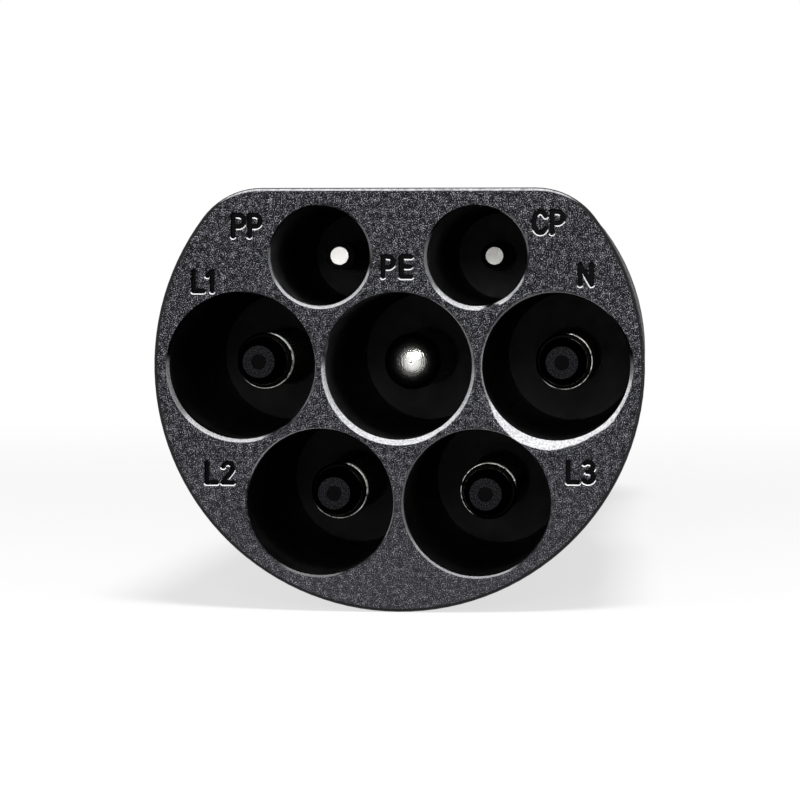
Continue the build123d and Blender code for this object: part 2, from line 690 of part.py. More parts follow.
def gland_nut():
    """Fluted nut with a cone inside that closes the cage on the cord."""
    thread_r = THREAD_R + PIN_GAP
    cone_front = SEAL_REAR + CAGE_RING_T
    cone_rear = CAGE_REAR + FIT_GAP
    cone_r = CORD_R + 2 * FIT_GAP + CAGE_TIP_WALL
    end = cone_rear + NUT_END_T
    nut = turned(
        [
            (thread_r, NUT_FRONT),
            (NUT_R, NUT_FRONT),
            (NUT_R, end - NUT_CHAMFER),
            (NUT_R - NUT_CHAMFER, end),
            (NUT_EXIT_R, end),
            (NUT_EXIT_R, cone_rear),
            (cone_r, cone_rear),
            (thread_r, cone_front),
        ]
    )
    for index in range(NUT_FLUTES):
        place = polar(NUT_R + NUT_FLUTE_R - NUT_FLUTE_DEPTH, index * 360 / NUT_FLUTES)
        nut -= rod(NUT_FLUTE_R, NUT_FRONT + NUT_FLUTE_R, end, place)
    return nut


def flange_gasket():
    """Rubber ring between the back of the nose and the shells."""
    outline = nose_outline(SHELL_STEP) - nose_outline(NECK_INSET - FIT_GAP)
    return prism(outline, NOSE_LENGTH, SHELL_FRONT)


def all_parts():
    """Every piece of the plug by its name."""
    plate_inset = FLANGE_INSET + PLATE_GAP
    upper, lower = shells()
    parts = {
        "nose": nose(),
        "flange_gasket": flange_gasket(),
        "contact_seal": plate(plate_inset, FLANGE_REAR, MAT_REAR, PIN_GAP),
        "contact_retainer": plate(plate_inset, MAT_REAR, RETAINER_REAR, FIT_GAP),
        "retainer_screws": retainer_screws(),
        "coding_resistor": coding_resistor(),
        "grip_upper": upper,
        "grip_lower": lower,
        "grip_screws": shell_screws(),
        "clamp_bar": clamp_bar(),
        "clamp_screws": clamp_screws(),
        "gland_body": gland_body(),
        "gland_seal": gland_seal(),
        "gland_cage": gland_cage(),
        "gland_nut": gland_nut(),
    }
    for name, place in PHASE_PLACES.items():
        parts["pin_" + name] = phase_pin(place)
        parts["touch_guard_" + name] = touch_guard(place)
    parts["pin_pe"] = earth_pin(EARTH_PLACE["pe"])
    for name, place in PILOT_PLACES.items():
        parts["pin_" + name] = pilot_pin(PILOT_TIPS[name], place)
    return parts


os.makedirs("parts", exist_ok=True)
for part_name, part in all_parts().items():
    pieces = part if isinstance(part, list) else part.solids()
    whole = pieces[0] if len(pieces) == 1 else Compound(children=list(pieces))
    export_step(whole, f"parts/{part_name}.step")
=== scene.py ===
"""Looks of a seven-contact charging plug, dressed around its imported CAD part.

Everything is in metres in the frame of the CAD part: the origin is on the axis of the earth
contact, in the plane of the mating face, -Y points out of that face and +Z is up.
"""
import logging
import math
from dataclasses import dataclass, field
from enum import Enum, IntEnum

import bmesh
import bpy
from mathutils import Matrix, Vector


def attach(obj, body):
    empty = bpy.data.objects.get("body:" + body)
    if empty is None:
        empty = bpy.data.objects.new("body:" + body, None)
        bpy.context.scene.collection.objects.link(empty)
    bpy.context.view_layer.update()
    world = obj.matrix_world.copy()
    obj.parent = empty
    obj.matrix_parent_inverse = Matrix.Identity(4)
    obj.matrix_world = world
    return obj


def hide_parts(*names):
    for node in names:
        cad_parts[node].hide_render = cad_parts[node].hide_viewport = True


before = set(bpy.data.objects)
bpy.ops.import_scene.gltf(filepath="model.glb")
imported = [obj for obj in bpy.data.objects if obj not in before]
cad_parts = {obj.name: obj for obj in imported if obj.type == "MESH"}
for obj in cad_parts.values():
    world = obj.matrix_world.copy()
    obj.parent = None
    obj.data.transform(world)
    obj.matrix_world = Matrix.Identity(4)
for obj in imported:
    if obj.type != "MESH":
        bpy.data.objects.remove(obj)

MM = 0.001
POLYAMIDE_IOR = 1.53
POLYESTER_IOR = 1.57
WHITE = (1.0, 1.0, 1.0, 1.0)
POWER_BORE_MM = 7.5
PILOT_BORE_MM = 5.1
Point = tuple[float, float]
Place = tuple[float, float, float]
Tree = bpy.types.NodeTree
Socket = bpy.types.NodeSocket
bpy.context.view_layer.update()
log = logging.getLogger("plug")


class Contact(Enum):
    """Place of each contact across the mating face, in millimetres."""

    L1 = (-16.0, 0.0)
    L2 = (-8.0, -13.856)
    L3 = (8.0, -13.856)
    N = (16.0, 0.0)
    PE = (0.0, 0.0)
    PP = (-8.0, 11.183)
    CP = (8.0, 11.183)


def linear(code: str) -> tuple[float, float, float, float]:
    """Turns an sRGB hex colour to linear light.

    Args:
        code: the colour, such as "#2a2a2d".

    Returns:
        Linear red, green, blue, and an alpha of 1.
    """
    shares = [int(code[i : i + 2], 16) / 255 for i in (1, 3, 5)]
    light = [c / 12.92 if c <= 0.04045 else ((c + 0.055) / 1.055) ** 2.4 for c in shares]
    return light[0], light[1], light[2], 1.0


def add_node(
    tree: Tree, kind: str, settings: dict | None = None, links: dict | None = None
) -> bpy.types.Node:
    """Adds one shader node with its settings and links.

    Args:
        tree: the node tree that takes the node.
        kind: Blender's name of the node's type, without its ShaderNode prefix.
        settings: values by property name in lower case, or by input name or number.
        links: what feeds each input, by its name or number. It is a socket, or a node that
            stands for its first output.

    Returns:
        The new node.
    """
    node = tree.nodes.new("ShaderNode" + kind)
    for key, value in (settings or {}).items():
        if isinstance(key, str) and key[0].islower():
            setattr(node, key, value)
        else:
            node.inputs[key].default_value = value
    for key, source in (links or {}).items():
        socket = source.outputs[0] if isinstance(source, bpy.types.Node) else source
        tree.links.new(socket, node.inputs[key])
    return node


def per_metre(size_mm: float) -> float:
    """Texture scale at which one grain is this many millimetres across."""
    return 1.0 / (size_mm * MM)


def blank_material(name: str) -> tuple[bpy.types.Material, Tree, Socket]:
    """Makes a material with no shader yet.

    Args:
        name: the material's name.

    Returns:
        The material, its node tree, and the socket of the place on the object.
    """
    material = bpy.data.materials.new(name)
    material.use_nodes = True
    tree = material.node_tree
    tree.nodes.clear()
    return material, tree, add_node(tree, "TexCoord").outputs["Object"]


@dataclass(frozen=True)
class GrainedPolyamide:
    """Glass-filled polyamide from a spark-eroded mould.

    To the eye it is a matt charcoal with a fine speckle: the grain's own tone, with painted glints as
    its bright specks. The speckle is painted crisper towards the top, where light from above grazes it.
    """

    name: str
    valley: str = "#08080a"
    # the bright end of the speckle paints glints of the grain
    glint_peak: str = "#b4b4be"
    roughness: float = 0.52
    specular: float = 0.07
    grain_mm: float = 0.12
    clump_mm: float = 0.55
    sparseness: float = 1.5
    depth_mm: float = 0.05
    edge_mm: float = 0.12
    pivot: float = 0.16
    contrast_low: float = 0.8
    contrast_high: float = 1.35
    low_mm: float = -22.0
    high_mm: float = 18.0
    clump_share: float = 0.35
    speck_range: Point = (0.66, 0.98)
    cloud_mm: float = 7.0
    cloud_range: Point = (0.84, 1.14)

    def speckle(self, tree: Tree, place: Socket) -> tuple[Socket, Socket]:
        """Adds the speckle.

        Args:
            tree: the material's node tree.
            place: the socket of the place on the object.

        Returns:
            The sockets of the colour and of the grain's height.
        """
        grain = add_node(
            tree, "TexNoise", {"Scale": per_metre(self.grain_mm), "Detail": 1.0, "Roughness": 0.7},
            {"Vector": place},
        )
        clump = add_node(
            tree, "TexNoise", {"Scale": per_metre(self.clump_mm), "Detail": 2.0}, {"Vector": place}
        )
        cloud = add_node(
            tree, "TexNoise", {"Scale": per_metre(self.cloud_mm), "Detail": 3.0}, {"Vector": place}
        )
        heap = add_node(
            tree, "Math", {"operation": "MULTIPLY_ADD", 1: self.clump_share}, {0: clump, 2: grain}
        )
        spread = add_node(
            tree, "MapRange", {"From Min": self.speck_range[0], "From Max": self.speck_range[1]},
            {"Value": heap},
        )
        speck = add_node(tree, "Math", {"operation": "POWER", 1: self.sparseness}, {0: spread})
        # painted light: the speckle is painted crisper towards the top, where light from above grazes
        # it
        height = add_node(tree, "SeparateXYZ", {}, {0: place})
        top_light_contrast = add_node(
            tree,
            "MapRange",
            {
                "From Min": self.low_mm * MM,
                "From Max": self.high_mm * MM,
                "To Min": self.contrast_low,
                "To Max": self.contrast_high,
            },
            {"Value": height.outputs[2]},
        )
        above = add_node(tree, "Math", {"operation": "SUBTRACT", 1: self.pivot}, {0: speck})
        share = add_node(
            tree, "Math", {"operation": "MULTIPLY_ADD", 2: self.pivot, "use_clamp": True},
            {0: above, 1: top_light_contrast},
        )
        tone = add_node(
            tree, "Mix", {"data_type": "RGBA", 6: linear(self.valley), 7: linear(self.glint_peak)},
            {0: share},
        )
        uneven = add_node(
            tree,
            "MapRange",
            {
                "From Min": 0.3,
                "From Max": 0.7,
                "To Min": self.cloud_range[0],
                "To Max": self.cloud_range[1],
            },
            {"Value": cloud},
        )
        shade = add_node(
            tree, "VectorMath", {"operation": "SCALE"}, {0: tone.outputs[2], 3: uneven}
        )
        return shade.outputs[0], heap.outputs[0]

    def build(self) -> bpy.types.Material:
        """Makes the material. Returns it."""
        material, tree, place = blank_material(self.name)
        colour, height = self.speckle(tree, place)
        rounded = add_node(tree, "Bevel", {"samples": 4, "Radius": self.edge_mm * MM})
        bump = add_node(
            tree, "Bump", {"Strength": 1.0, "Distance": self.depth_mm * MM},
            {"Height": height, "Normal": rounded},
        )
        shader = add_node(
            tree,
            "BsdfPrincipled",
            {"Roughness": self.roughness, "IOR": POLYAMIDE_IOR, "Specular IOR Level": self.specular},
            {"Base Color": colour, "Normal": bump},
        )
        add_node(tree, "OutputMaterial", {}, {"Surface": shader})
        return material


@dataclass(frozen=True)
class PolishedPolyamide:
    """The same polyamide where polished core pins formed it.

    To the eye it is a near-black wall with a soft gloss and faint drag lines along the draw,
    drawn coarser than real ones so that they show.
    """

    name: str
    colour: str = "#040404"
    bloom: str = "#151516"
    roughness: float = 0.34
    specular: float = 0.12
    line_mm: float = 0.22
    line_length_mm: float = 9.0
    depth_mm: float = 0.006
    haze_mm: float = 1.4
    bloom_mm: float = 5.0
    gloss_range: Point = (-0.06, 0.14)

    def build(self) -> bpy.types.Material:
        """Makes the material. Returns it."""
        material, tree, place = blank_material(self.name)
        across, along = per_metre(self.line_mm), per_metre(self.line_length_mm)
        drawn = add_node(tree, "Mapping", {"Scale": (across, along, across)}, {"Vector": place})
        lines = add_node(tree, "TexNoise", {"Scale": 1.0, "Detail": 2.0}, {0: drawn})
        haze = add_node(
            tree, "TexNoise", {"Scale": per_metre(self.haze_mm), "Detail": 4.0}, {"Vector": place}
        )
        gloss = add_node(
            tree,
            "MapRange",
            {
                "To Min": self.roughness + self.gloss_range[0],
                "To Max": self.roughness + self.gloss_range[1],
            },
            {"Value": haze},
        )
        patch = add_node(
            tree, "TexNoise", {"Scale": per_metre(self.bloom_mm), "Detail": 5.0}, {"Vector": place}
        )
        mist = add_node(tree, "MapRange", {"From Min": 0.44, "From Max": 0.7}, {"Value": patch})
        tone = add_node(
            tree, "Mix", {"data_type": "RGBA", 6: linear(self.colour), 7: linear(self.bloom)},
            {0: mist},
        )
        bump = add_node(
            tree, "Bump", {"Strength": 1.0, "Distance": self.depth_mm * MM}, {"Height": lines}
        )
        shader = add_node(
            tree, "BsdfPrincipled", {"IOR": POLYAMIDE_IOR, "Specular IOR Level": self.specular},
            {"Base Color": tone.outputs[2], "Roughness": gloss, "Normal": bump},
        )
        add_node(tree, "OutputMaterial", {}, {"Surface": shader})
        return material


@dataclass(frozen=True)
class TrimmedPolyamide:
    """Polyamide cut with a blade around the mouths of the bores.

    To the eye it is a pale frayed band: a painted highlight where the cut faces up, catching light
    from above, and painted shade, black, where it faces down. Past the cut the mouth keeps the grain
    of the face. The mesh gives, in its attribute trim, the distance from the bore and the band's
    width in millimetres, and how much painted light it takes.
    """

    name: str
    around: GrainedPolyamide
    # painted light: pale highlight where the cut faces up, blotched; dark painted shade where it faces
    # down
    pale: str = "#dadadc"
    blotched_highlight: str = "#a2a2a6"
    dark: str = "#060607"
    roughness: float = 0.42
    specular: float = 0.1
    ripple_mm: float = 0.22
    fray_mm: float = 0.09
    soft_mm: float = 0.03
    depth_mm: float = 0.02

    def build(self) -> bpy.types.Material:
        """Makes the material. Returns it."""
        material, tree, place = blank_material(self.name)
        grained, height = self.around.speckle(tree, place)
        cut = add_node(tree, "Attribute", {"attribute_name": "trim"})
        parts = add_node(tree, "SeparateXYZ", {}, {0: cut.outputs["Vector"]})
        away, width, painted_light = parts.outputs
        ripple = add_node(
            tree, "TexNoise", {"Scale": per_metre(self.ripple_mm), "Detail": 3.0}, {0: place}
        )
        left = add_node(tree, "Math", {"operation": "SUBTRACT"}, {0: width, 1: away})
        # the ripple is a half on average, where the band keeps its width
        middle = 2.0 * self.fray_mm
        frayed = add_node(
            tree, "Math", {"operation": "MULTIPLY_ADD", 1: 2.0 * middle}, {0: ripple, 2: left}
        )
        reached = add_node(
            tree, "MapRange",
            {"From Min": middle - self.soft_mm, "From Max": middle + self.soft_mm},
            {"Value": frayed},
        )
        blotch = add_node(tree, "MapRange", {"From Min": 0.4, "From Max": 0.68}, {"Value": ripple})
        # the painted highlight is blotched between two pale greys
        painted_highlight = add_node(
            tree, "Mix", {"data_type": "RGBA", 6: linear(self.pale), 7: linear(self.blotched_highlight)},
            {0: blotch},
        )
        # painted light: the mesh's paleness takes the band from painted shade to painted highlight
        shaded = add_node(
            tree, "Mix", {"data_type": "RGBA", 6: linear(self.dark)},
            {0: painted_light, 7: painted_highlight.outputs[2]},
        )
        tone = add_node(
            tree, "Mix", {"data_type": "RGBA"}, {0: reached, 6: grained, 7: shaded.outputs[2]}
        )
        bump = add_node(tree, "Bump", {"Distance": self.depth_mm * MM}, {"Height": height})
        shader = add_node(
            tree,
            "BsdfPrincipled",
            {"Roughness": self.roughness, "IOR": POLYAMIDE_IOR, "Specular IOR Level": self.specular},
            {"Base Color": tone.outputs[2], "Normal": bump},
        )
        add_node(tree, "OutputMaterial", {}, {"Surface": shader})
        return material


@dataclass(frozen=True)
class BurnishedPolyamide:
    """The moulded edge around the mating face, where handling has worn off the grain.

    To the eye it is a painted highlight, a thin light line where the edge faces up, and a dark one
    outside it.
    """

    name: str
    # the pale colour is a painted highlight where the edge faces up
    pale: str = "#bcbcc0"
    dark: str = "#0c0c0e"
    line_mm: float = 0.11
    soft_mm: float = 0.04
    roughness: float = 0.4
    specular: float = 0.15
    breaks_mm: float = 0.5
    least_kept: float = 0.45
    upward_range: Point = (0.12, 0.3)
    depth_mm: float = 0.01

    def build(self) -> bpy.types.Material:
        """Makes the material. Returns it."""
        material, tree, place = blank_material(self.name)
        depth = add_node(tree, "SeparateXYZ", {}, {0: place})
        normal = add_node(tree, "NewGeometry").outputs["Normal"]
        turned = add_node(tree, "SeparateXYZ", {}, {0: normal})
        sideways = add_node(tree, "Math", {"operation": "ABSOLUTE"}, {0: turned})
        above = add_node(
            tree, "Math", {"operation": "SUBTRACT"}, {0: turned.outputs[2], 1: sideways}
        )
        upward = add_node(
            tree, "MapRange", {"From Min": self.upward_range[0], "From Max": self.upward_range[1]},
            {"Value": above},
        )
        inner = add_node(
            tree,
            "MapRange",
            {
                "From Min": self.line_mm * MM,
                "From Max": (self.line_mm + self.soft_mm) * MM,
                "To Min": 1.0,
                "To Max": 0.0,
            },
            {"Value": depth.outputs[1]},
        )
        flaw = add_node(
            tree, "TexNoise", {"Scale": per_metre(self.breaks_mm), "Detail": 3.0}, {0: place}
        )
        kept = add_node(
            tree, "MapRange", {"From Min": 0.3, "From Max": 0.6, "To Min": self.least_kept},
            {"Value": flaw},
        )
        # painted highlight: a line painted where the edge faces up, close to the face
        line = add_node(tree, "Math", {"operation": "MULTIPLY"}, {0: upward, 1: inner})
        share = add_node(tree, "Math", {"operation": "MULTIPLY"}, {0: line, 1: kept})
        tone = add_node(
            tree, "Mix", {"data_type": "RGBA", 6: linear(self.dark), 7: linear(self.pale)},
            {0: share},
        )
        bump = add_node(tree, "Bump", {"Distance": self.depth_mm * MM}, {"Height": flaw})
        shader = add_node(
            tree,
            "BsdfPrincipled",
            {"Roughness": self.roughness, "IOR": POLYAMIDE_IOR, "Specular IOR Level": self.specular},
            {"Base Color": tone.outputs[2], "Normal": bump},
        )
        add_node(tree, "OutputMaterial", {}, {"Surface": shader})
        return material


@dataclass(frozen=True)
class SilverPlate:
    """Turned copper with a thin silver plating.

    To the eye its end is a bright soft metal with turning rings, scratched where it is worn, and it
    tarnishes to sulphide in patches. The shaft deeper in the bore is painted brown-black as painted
    shade, and where a pin gives a narrow band, the end outside it is painted shade too. The rings
    are drawn coarser than real turning marks, so that they show.
    """

    name: str
    centre_mm: Point
    bright_to_mm: float
    scratches: float = 0.3
    worn_share: float = 0.5
    # bright band from the axis out, the whole end unless a pin says otherwise; painted shade outside it
    band_mm: Point = (-1.0, 9.0)
    colour: str = "#e9e8e4"
    lit_toward: Point | None = None
    mark_depth_mm: float = 0.006
    tarnish: str = "#2b2825"
    # the dark root colour is painted shade, deep in the bore and outside the bright band
    root: str = "#0b0a09"
    roughness: float = 0.2
    roughness_rise: float = 0.2
    ring_mm: float = 0.16
    scratch_turn: float = 0.7
    scratches_per_m: Place = (9000.0, 2000.0, 900.0)
    film_mm: float = 1.1
    film_soft: float = 0.12
    band_soft_mm: Point = (0.03, 0.04)
    fade_mm: float = 1.5
    radius_mm: float = 3.0
    side_range: Point = (-0.65, -0.2)
    nick_mm: float = 0.13

    def build(self) -> bpy.types.Material:
        """Makes the material. Returns it."""
        material, tree, place = blank_material(self.name)
        x, z = self.centre_mm[0] * MM, self.centre_mm[1] * MM
        centred = add_node(
            tree, "VectorMath", {"operation": "SUBTRACT", 1: (x, 0.0, z)}, {0: place}
        )
        flat = add_node(
            tree, "VectorMath", {"operation": "MULTIPLY", 1: (1.0, 0.0, 1.0)}, {0: centred}
        )
        radius = add_node(tree, "VectorMath", {"operation": "LENGTH"}, {0: flat})
        depth = add_node(tree, "SeparateXYZ", {}, {0: place})
        both = add_node(
            tree, "Math", {"operation": "ADD"}, {0: radius.outputs[1], 1: depth.outputs[1]}
        )
        rings = add_node(
            tree, "TexNoise",
            {"noise_dimensions": "1D", "Scale": per_metre(self.ring_mm), "Detail": 3.0},
            {"W": both},
        )
        turned = add_node(
            tree, "Mapping",
            {"Rotation": (0.0, self.scratch_turn, 0.0), "Scale": self.scratches_per_m}, {0: place},
        )
        marks = add_node(tree, "TexNoise", {"Scale": 1.0, "Detail": 5.0}, {0: turned})
        scored = add_node(
            tree, "Math", {"operation": "MULTIPLY_ADD", 1: self.scratches}, {0: marks, 2: rings}
        )
        film = add_node(tree, "TexNoise", {"Scale": per_metre(self.film_mm), "Detail": 4.0}, {0: place})
        worn = add_node(
            tree, "MapRange",
            {"From Min": self.worn_share, "From Max": self.worn_share + self.film_soft},
            {"Value": film},
        )
        patchy = add_node(
            tree, "Mix", {"data_type": "RGBA", 6: linear(self.colour), 7: linear(self.tarnish)},
            {0: worn},
        )
        inside = add_node(
            tree,
            "MapRange",
            {
                "From Min": (self.band_mm[0] - self.band_soft_mm[0]) * MM,
                "From Max": self.band_mm[0] * MM,
            },
            {"Value": radius.outputs[1]},
        )
        outside = add_node(
            tree,
            "MapRange",
            {
                "From Min": self.band_mm[1] * MM,
                "From Max": (self.band_mm[1] + self.band_soft_mm[1]) * MM,
                "To Min": 1.0,
                "To Max": 0.0,
            },
            {"Value": radius.outputs[1]},
        )
        band = add_node(tree, "Math", {"operation": "MULTIPLY"}, {0: inside, 1: outside})
        # painted shade: outside the band, and on a pin's unlit side, the end takes the dark root colour
        if self.lit_toward:
            band = self.paint_lit_side(tree, place, centred.outputs[0], band.outputs[0])
        painted_band = add_node(
            tree, "Mix", {"data_type": "RGBA", 6: linear(self.root)},
            {0: band, 7: patchy.outputs[2]},
        )
        # painted shade: deeper than bright_to_mm the pin fades to the dark root colour
        painted_depth_shade = add_node(
            tree,
            "MapRange",
            {
                "From Min": self.bright_to_mm * MM,
                "From Max": (self.bright_to_mm + self.fade_mm) * MM,
            },
            {"Value": depth.outputs[1]},
        )
        tone = add_node(
            tree, "Mix", {"data_type": "RGBA", 7: linear(self.root)},
            {0: painted_depth_shade, 6: painted_band.outputs[2]},
        )
        gloss = add_node(
            tree, "MapRange",
            {"To Min": self.roughness, "To Max": self.roughness + self.roughness_rise},
            {"Value": marks},
        )
        bump = add_node(tree, "Bump", {"Distance": self.mark_depth_mm * MM}, {"Height": scored})
        normal = bump.outputs[0]
        if self.lit_toward:
            # the edge of a rim is rolled over by use, so that it shines like a flat
            normal = add_node(
                tree, "Mix", {"data_type": "VECTOR", 5: (0.0, -1.0, 0.0)}, {0: band, 4: normal}
            ).outputs[1]
        shader = add_node(
            tree, "BsdfPrincipled", {"Metallic": 1.0},
            {"Base Color": tone.outputs[2], "Roughness": gloss, "Normal": normal},
        )
        add_node(tree, "OutputMaterial", {}, {"Surface": shader})
        return material

    def paint_lit_side(self, tree: Tree, place: Socket, centred: Socket, band: Socket) -> bpy.types.Node:
        """Paints shade on the unlit side of the bright band, and breaks the band into dashes.

        Args:
            tree: the material's node tree.
            place: the socket of the place on the object.
            centred: the socket of the place from the pin's axis.
            band: the socket of the whole band.

        Returns:
            The node of the band, bright on its lit side only.
        """
        radius = self.radius_mm * MM
        toward = (self.lit_toward[0] / radius, 0.0, self.lit_toward[1] / radius)
        lean = add_node(tree, "VectorMath", {"operation": "DOT_PRODUCT", 1: toward}, {0: centred})
        side = add_node(
            tree, "MapRange", {"From Min": self.side_range[0], "From Max": self.side_range[1]},
            {"Value": lean.outputs[1]},
        )
        nicks = add_node(
            tree, "TexNoise", {"Scale": per_metre(self.nick_mm), "Detail": 2.0}, {0: place}
        )
        dashes = add_node(tree, "MapRange", {"From Min": 0.3, "From Max": 0.52}, {"Value": nicks})
        kept = add_node(tree, "Math", {"operation": "MULTIPLY"}, {0: side, 1: dashes})
        return add_node(tree, "Math", {"operation": "MULTIPLY"}, {0: kept, 1: band})


@dataclass(frozen=True)
class GlossyPolyester:
    """Moulded polyester (PBT) of the caps on the live pins.

    To the eye it is a wet-looking black cone, with a dull grained ring where the gate was cut.
    """

    name: str
    colour: str = "#050505"
    ring: str = "#5c5c62"
    roughness: float = 0.14
    ring_roughness: float = 0.5
    specular: float = 0.03
    face_depth_mm: float = 13.02
    grain_mm: float = 0.13
    depth_mm: float = 0.03

    def build(self) -> bpy.types.Material:
        """Makes the material. Returns it."""
        material, tree, place = blank_material(self.name)
        depth = add_node(tree, "SeparateXYZ", {}, {0: place})
        on_face = add_node(
            tree, "Math", {"operation": "LESS_THAN", 1: self.face_depth_mm * MM},
            {0: depth.outputs[1]},
        )
        grain = add_node(
            tree, "TexNoise", {"Scale": per_metre(self.grain_mm), "Detail": 2.0}, {0: place}
        )
        speck = add_node(tree, "MapRange", {"From Min": 0.42, "From Max": 0.75}, {"Value": grain})
        relief = add_node(tree, "Math", {"operation": "MULTIPLY"}, {0: speck, 1: on_face})
        tone = add_node(
            tree, "Mix", {"data_type": "RGBA", 6: linear(self.colour), 7: linear(self.ring)},
            {0: relief},
        )
        gloss = add_node(
            tree, "MapRange", {"To Min": self.roughness, "To Max": self.ring_roughness},
            {"Value": on_face},
        )
        bump = add_node(tree, "Bump", {"Distance": self.depth_mm * MM}, {"Height": relief})
        shader = add_node(
            tree, "BsdfPrincipled", {"IOR": POLYESTER_IOR, "Specular IOR Level": self.specular},
            {"Base Color": tone.outputs[2], "Roughness": gloss, "Normal": bump},
        )
        add_node(tree, "OutputMaterial", {}, {"Surface": shader})
        return material


@dataclass(frozen=True)
class PlainMoulding:
    """A moulded rubber or plastic that is mostly hidden.

    To the eye it is one dull tone with a fine grain and a slight bloom.
    """

    name: str
    colour: str
    bloom: str
    roughness: float
    ior: float
    grain_mm: float = 0.3
    depth_mm: float = 0.02
    cloud_mm: float = 4.0

    def build(self) -> bpy.types.Material:
        """Makes the material. Returns it."""
        material, tree, place = blank_material(self.name)
        grain = add_node(
            tree, "TexNoise", {"Scale": per_metre(self.grain_mm), "Detail": 3.0}, {0: place}
        )
        cloud = add_node(
            tree, "TexNoise", {"Scale": per_metre(self.cloud_mm), "Detail": 4.0}, {0: place}
        )
        tone = add_node(
            tree, "Mix", {"data_type": "RGBA", 6: linear(self.colour), 7: linear(self.bloom)},
            {0: cloud},
        )
        bump = add_node(tree, "Bump", {"Distance": self.depth_mm * MM}, {"Height": grain})
        shader = add_node(
            tree, "BsdfPrincipled", {"Roughness": self.roughness, "IOR": self.ior},
            {"Base Color": tone.outputs[2], "Normal": bump},
        )
        add_node(tree, "OutputMaterial", {}, {"Surface": shader})
        return material


@dataclass(frozen=True)
class ZincPlate:
    """Steel with a clear passivated zinc plating.

    To the eye it is a satin grey metal with a faint straw tint in patches.
    """

    name: str
    colour: str = "#b9bab8"
    tint: str = "#b3a98f"
    roughness: float = 0.34
    patch_mm: float = 1.5
    grain_mm: float = 0.15
    depth_mm: float = 0.008

    def build(self) -> bpy.types.Material:
        """Makes the material. Returns it."""
        material, tree, place = blank_material(self.name)
        patch = add_node(
            tree, "TexNoise", {"Scale": per_metre(self.patch_mm), "Detail": 4.0}, {0: place}
        )
        fine = add_node(
            tree, "TexNoise", {"Scale": per_metre(self.grain_mm), "Detail": 2.0}, {0: place}
        )
        tone = add_node(
            tree, "Mix", {"data_type": "RGBA", 6: linear(self.colour), 7: linear(self.tint)},
            {0: patch},
        )
        bump = add_node(tree, "Bump", {"Distance": self.depth_mm * MM}, {"Height": fine})
        shader = add_node(
            tree, "BsdfPrincipled", {"Metallic": 1.0, "Roughness": self.roughness},
            {"Base Color": tone.outputs[2], "Normal": bump},
        )
        add_node(tree, "OutputMaterial", {}, {"Surface": shader})
        return material


class Glyph(Enum):
    """Strokes of each engraved character, in a cell one unit high."""

    P = ("stem", "bowl")
    C = ("hook",)
    E = ("stem", "top_bar", "middle_bar", "foot_bar")
    L = ("stem", "foot_bar")
    N = ("stem", "slant", "far_stem")
    ONE = ("middle_stem", "flag")
    TWO = ("swan", "foot_bar")
    THREE = ("upper_lobe", "lower_lobe")


def arc(centre: Point, radii: Point, start: float, end: float, steps: int = 12) -> list[Point]:
    """Points along an ellipse.

    Args:
        centre: its middle.
        radii: half its width and half its height.
        start: first angle in degrees, from +X towards +Z.
        end: last angle in degrees.
        steps: number of straight steps.

    Returns:
        The points, both ends included.
    """
    angles = [math.radians(start + (end - start) * i / steps) for i in range(steps + 1)]
    return [
        (centre[0] + radii[0] * math.cos(a), centre[1] + radii[1] * math.sin(a)) for a in angles
    ]


STROKES: dict[str, list[Point]] = {
    "stem": [(0.0, 0.0), (0.0, 1.0)],
    "middle_stem": [(0.26, 0.0), (0.26, 1.0)],
    "far_stem": [(0.58, 0.0), (0.58, 1.0)],
    "slant": [(0.0, 1.0), (0.58, 0.0)],
    "flag": [(0.02, 0.78), (0.26, 1.0)],
    "top_bar": [(0.0, 1.0), (0.5, 1.0)],
    "middle_bar": [(0.0, 0.5), (0.44, 0.5)],
    "foot_bar": [(0.0, 0.0), (0.5, 0.0)],
    "bowl": [(0.0, 1.0), *arc((0.26, 0.73), (0.26, 0.27), 90, -90), (0.0, 0.46)],
    "hook": arc((0.31, 0.5), (0.31, 0.5), 36, 324, 22),
    "swan": [*arc((0.25, 0.74), (0.25, 0.26), 165, -35), (0.0, 0.0)],
    "upper_lobe": [*arc((0.23, 0.76), (0.25, 0.24), 136, -90), (0.18, 0.52)],
    "lower_lobe": [(0.18, 0.52), *arc((0.23, 0.26), (0.27, 0.26), 90, -138)],
}


@dataclass
class ContactLabel:
    """Name of one contact, engraved beside its bore."""

    glyphs: tuple[Glyph, ...]
    centre_mm: Point
    height_mm: float = 2.02
    pitch_mm: float = 1.68
    glyph_width: float = 0.5

    def strokes(self) -> list[tuple[int, list[Point]]]:
        """Lays out the strokes.

        Returns:
            For each stroke the layer that cuts it, so that no two in a layer touch, and its
            points in millimetres.
        """
        laid = []
        width = self.pitch_mm * (len(self.glyphs) - 1) + self.glyph_width * self.height_mm
        for index, glyph in enumerate(self.glyphs):
            left = self.centre_mm[0] - width / 2 + index * self.pitch_mm
            foot = self.centre_mm[1] - self.height_mm / 2
            for turn, name in enumerate(glyph.value):
                line = [
                    (left + x * self.height_mm, foot + z * self.height_mm) for x, z in STROKES[name]
                ]
                laid.append((2 * turn + index % 2, line))
        return laid


